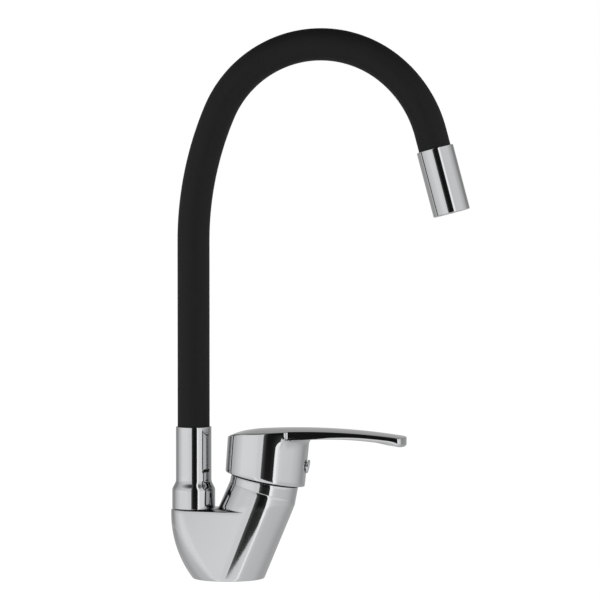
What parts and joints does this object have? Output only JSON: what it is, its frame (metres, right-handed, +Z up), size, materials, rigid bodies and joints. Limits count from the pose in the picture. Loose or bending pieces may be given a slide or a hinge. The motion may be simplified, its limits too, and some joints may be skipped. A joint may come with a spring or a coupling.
{
  "type": "flexible kitchen faucet",
  "caption": "Chrome single-lever kitchen mixer with a V-shaped body and a bendable black silicone gooseneck spout on a swivelling socket, ending in a plain chrome outlet sleeve.",
  "frame": {"origin": "centre of the round base where it rests on the sink", "axes": "+Z up, +X toward the user and the outlet, +Y across the faucet"},
  "size_m": [0.2104, 0.0574, 0.3852],
  "materials": {
    "chrome": "mirror polished plating",
    "silicone": "smooth matt black",
    "seal_rubber": "matt",
    "brass": "machined",
    "steel": "turned",
    "ceramic": "lapped",
    "white_plastic": "moulded",
    "grey_plastic": "moulded",
    "red_plastic": "moulded"
  },
  "bodies": {
    "mixer": {"mixer_body": "chrome", "base_seal": "seal_rubber", "spout_spigot": "brass", "glide_ring": "white_plastic", "spout_o_ring_1": "seal_rubber", "spout_o_ring_2": "seal_rubber", "cartridge_gasket": "seal_rubber", "cartridge_base": "white_plastic", "fixed_ceramic_disc": "ceramic", "cartridge_housing": "white_plastic", "cartridge_nut": "brass"},
    "spout_base": {"swivel_socket": "chrome", "spout_retaining_screw": "steel", "hose_ferrule_lower": "brass", "hose_sheath": "silicone", "water_hose": "white_plastic"},
    "link_01": {"spine_link_01": "grey_plastic"},
    "link_02": {"spine_link_02": "grey_plastic"},
    "link_03": {"spine_link_03": "grey_plastic"},
    "link_04": {"spine_link_04": "grey_plastic"},
    "link_05": {"spine_link_05": "grey_plastic"},
    "link_06": {"spine_link_06": "grey_plastic"},
    "link_07": {"spine_link_07": "grey_plastic"},
    "link_08": {"spine_link_08": "grey_plastic"},
    "link_09": {"spine_link_09": "grey_plastic"},
    "link_10": {"spine_link_10": "grey_plastic"},
    "link_11": {"spine_link_11": "grey_plastic"},
    "link_12": {"spine_link_12": "grey_plastic"},
    "link_13": {"spine_link_13": "grey_plastic"},
    "outlet": {"hose_ferrule_upper": "brass", "outlet_sleeve": "chrome", "aerator_washer": "seal_rubber", "aerator_housing": "chrome", "aerator_insert": "grey_plastic"},
    "turret": {"lever_rotor": "red_plastic", "pivot_pin": "steel"},
    "lever": {"lever_stem": "brass", "lever_handle": "chrome", "handle_set_screw": "steel", "screw_cover": "chrome"},
    "valve_disc": {"moving_ceramic_disc": "ceramic", "disc_carrier": "grey_plastic"}
  },
  "joints": [
    {"name": "spout_swivel", "type": "hinge", "parent": "mixer", "child": "spout_base", "pos_m": [-0.0249, 0, 0.0512], "axis": [0, 0, 1], "continuous": true},
    {"name": "spout_bend_01", "type": "hinge", "parent": "spout_base", "child": "link_01", "pos_m": [-0.0249, 0, 0.1139], "axis": [0, 1, 0], "range_deg": [-5, 4], "deforming": ["hose_sheath", "water_hose"]},
    {"name": "spout_bend_02", "type": "hinge", "parent": "link_01", "child": "link_02", "pos_m": [-0.0249, 0, 0.1458], "axis": [0, 1, 0], "range_deg": [-5, 4], "deforming": ["hose_sheath", "water_hose"]},
    {"name": "spout_bend_03", "type": "hinge", "parent": "link_02", "child": "link_03", "pos_m": [-0.0249, 0, 0.1777], "axis": [0, 1, 0], "range_deg": [-5, 4], "deforming": ["hose_sheath", "water_hose"]},
    {"name": "spout_bend_04", "type": "hinge", "parent": "link_03", "child": "link_04", "pos_m": [-0.0249, 0, 0.2096], "axis": [0, 1, 0], "range_deg": [-5, 4], "deforming": ["hose_sheath", "water_hose"]},
    {"name": "spout_bend_05", "type": "hinge", "parent": "link_04", "child": "link_05", "pos_m": [-0.02486, 0, 0.2415], "axis": [0, 1, 0], "range_deg": [-5, 4], "deforming": ["hose_sheath", "water_hose"]},
    {"name": "spout_bend_06", "type": "hinge", "parent": "link_05", "child": "link_06", "pos_m": [-0.02202, 0, 0.27327], "axis": [0, 1, 0], "range_deg": [-5, 4], "deforming": ["hose_sheath", "water_hose"]},
    {"name": "spout_bend_07", "type": "hinge", "parent": "link_06", "child": "link_07", "pos_m": [-0.01482, 0, 0.30435], "axis": [0, 1, 0], "range_deg": [-5, 4], "deforming": ["hose_sheath", "water_hose"]},
    {"name": "spout_bend_08", "type": "hinge", "parent": "link_07", "child": "link_08", "pos_m": [-0.00316, 0, 0.33404], "axis": [0, 1, 0], "range_deg": [-18, 4], "deforming": ["hose_sheath", "water_hose"]},
    {"name": "spout_bend_09", "type": "hinge", "parent": "link_08", "child": "link_09", "pos_m": [0.01759, 0, 0.35827], "axis": [0, 1, 0], "range_deg": [-18, 4], "deforming": ["hose_sheath", "water_hose"]},
    {"name": "spout_bend_10", "type": "hinge", "parent": "link_09", "child": "link_10", "pos_m": [0.04634, 0, 0.37209], "axis": [0, 1, 0], "range_deg": [-18, 4], "deforming": ["hose_sheath", "water_hose"]},
    {"name": "spout_bend_11", "type": "hinge", "parent": "link_10", "child": "link_11", "pos_m": [0.07822, 0, 0.37317], "axis": [0, 1, 0], "range_deg": [-18, 4], "deforming": ["hose_sheath", "water_hose"]},
    {"name": "spout_bend_12", "type": "hinge", "parent": "link_11", "child": "link_12", "pos_m": [0.10784, 0, 0.3613], "axis": [0, 1, 0], "range_deg": [-18, 4], "deforming": ["hose_sheath", "water_hose"]},
    {"name": "spout_bend_13", "type": "hinge", "parent": "link_12", "child": "link_13", "pos_m": [0.13041, 0, 0.33877], "axis": [0, 1, 0], "range_deg": [-18, 4], "deforming": ["hose_sheath", "water_hose"]},
    {"name": "spout_bend_14", "type": "hinge", "parent": "link_13", "child": "outlet", "pos_m": [0.14313, 0, 0.30951], "axis": [0, 1, 0], "range_deg": [-18, 4], "deforming": ["hose_sheath", "water_hose"]},
    {"name": "lever_turn", "type": "hinge", "parent": "mixer", "child": "turret", "pos_m": [0.02603, 0, 0.0704], "axis": [0.1908, 0, 0.9816], "range_deg": [-45, 45]},
    {"name": "lever_lift", "type": "hinge", "parent": "turret", "child": "lever", "pos_m": [0.02603, 0, 0.0704], "axis": [0, -1, 0], "range_deg": [0, 20]},
    {"name": "disc_slide", "type": "slide", "parent": "turret", "child": "valve_disc", "axis": [0.9816, 0, -0.1908], "range_m": [0, 0.0036]}
  ],
  "couplings": [
    {"joint": "spout_bend_02", "follows": "spout_bend_01", "ratio": 1},
    {"joint": "spout_bend_03", "follows": "spout_bend_01", "ratio": 1},
    {"joint": "spout_bend_04", "follows": "spout_bend_01", "ratio": 1},
    {"joint": "spout_bend_05", "follows": "spout_bend_01", "ratio": 1},
    {"joint": "spout_bend_06", "follows": "spout_bend_01", "ratio": 1},
    {"joint": "spout_bend_07", "follows": "spout_bend_01", "ratio": 1},
    {"joint": "spout_bend_09", "follows": "spout_bend_08", "ratio": 1},
    {"joint": "spout_bend_10", "follows": "spout_bend_08", "ratio": 1},
    {"joint": "spout_bend_11", "follows": "spout_bend_08", "ratio": 1},
    {"joint": "spout_bend_12", "follows": "spout_bend_08", "ratio": 1},
    {"joint": "spout_bend_13", "follows": "spout_bend_08", "ratio": 1},
    {"joint": "spout_bend_14", "follows": "spout_bend_08", "ratio": 1},
    {"joint": "disc_slide", "follows": "lever_lift", "m_per_rad": 0.01}
  ]
}
